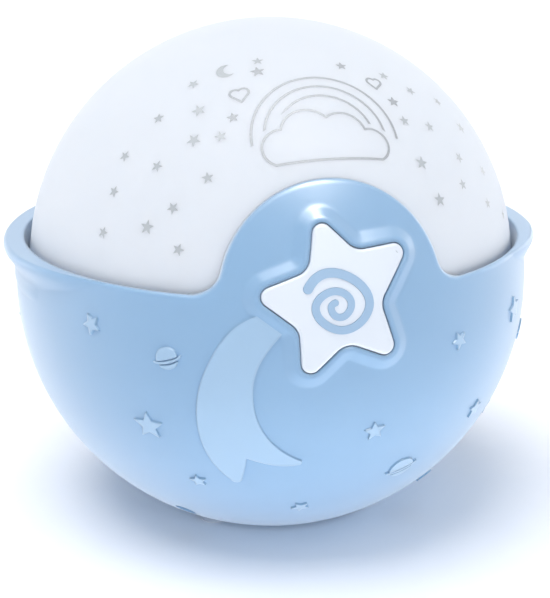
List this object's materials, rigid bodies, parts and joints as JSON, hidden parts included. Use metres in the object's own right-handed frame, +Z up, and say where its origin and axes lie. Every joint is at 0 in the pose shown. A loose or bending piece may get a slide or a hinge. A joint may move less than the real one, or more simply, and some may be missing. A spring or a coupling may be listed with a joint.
{
  "type": "night light projector",
  "caption": "Ball-shaped star night light projector: flared blue bowl, frosted dome with star windows, and a star push button on a round hump.",
  "frame": {"origin": "on the floor, below the middle of the ball", "axes": "+Z up, the star button faces -Y, +X is to the right of someone who faces the button"},
  "size_m": [0.177, 0.1757, 0.162],
  "materials": {
    "bowl_blue": "satin moulded",
    "dome_frosted": "frosted translucent",
    "window_clear": "clear",
    "picture_grey": "printed ink",
    "star_white": "satin moulded",
    "spiral_blue": "satin moulded",
    "silicone": "matt",
    "white_plastic": "satin moulded",
    "black_plastic": "satin",
    "board_green": "solder mask",
    "screw_steel": "zinc plated",
    "spring_steel": "nickel plated",
    "led_clear": "water clear",
    "speaker_steel": "plated",
    "cone_paper": "paper",
    "cell_jacket": "printed sleeve",
    "foot_rubber": "matt"
  },
  "bodies": {
    "housing": {"base_bowl": "bowl_blue", "dome": "dome_frosted", "dome_star_windows": "window_clear", "dome_picture": "picture_grey", "button_rubber_dome": "silicone", "button_board": "board_green", "button_carrier": "white_plastic", "carrier_screws": "screw_steel", "deck": "white_plastic", "dome_screws": "screw_steel", "housing_screws": "screw_steel", "lamp_tower": "white_plastic", "tower_screws": "screw_steel", "reflector": "white_plastic", "led_board": "board_green", "led_board_screws": "screw_steel", "leds": "led_clear", "main_board": "board_green", "main_board_screws": "screw_steel", "sound_chips": "black_plastic", "capacitors": "black_plastic", "wire_sockets": "white_plastic", "control_panel": "white_plastic", "panel_screws": "screw_steel", "timer_switch_body": "black_plastic", "volume_switch_body": "black_plastic", "control_board": "board_green", "control_board_screws": "screw_steel", "speaker_frame": "speaker_steel", "speaker_magnet": "speaker_steel", "speaker_cone": "cone_paper", "speaker_screws": "screw_steel", "battery_tray": "white_plastic", "tray_screws": "screw_steel", "cells": "cell_jacket", "cell_plates": "spring_steel", "cell_springs": "spring_steel", "rubber_feet": "foot_rubber"},
    "star": {"star_button": "star_white", "star_spiral": "spiral_blue"},
    "timer_slider": {"timer_knob": "spiral_blue"},
    "volume_slider": {"volume_knob": "spiral_blue"},
    "door": {"battery_door": "bowl_blue", "door_screw": "screw_steel"}
  },
  "joints": [
    {"name": "star_press", "type": "slide", "parent": "housing", "child": "star", "axis": [0, 0.9805, -0.1965], "range_m": [0, 0.0016], "stiffness_N_per_m": 700, "springref_m": -0.0012, "deforming": ["button_rubber_dome"]},
    {"name": "timer_slide", "type": "slide", "parent": "housing", "child": "timer_slider", "axis": [-1, 0, 0], "range_m": [-0.0034, 0.0034]},
    {"name": "volume_slide", "type": "slide", "parent": "housing", "child": "volume_slider", "axis": [-1, 0, 0], "range_m": [-0.0034, 0.0034]},
    {"name": "door_tilt", "type": "hinge", "parent": "housing", "child": "door", "pos_m": [-0.02765, 0, 0.0015], "axis": [0, 1, 0], "range_deg": [0, 70]}
  ]
}
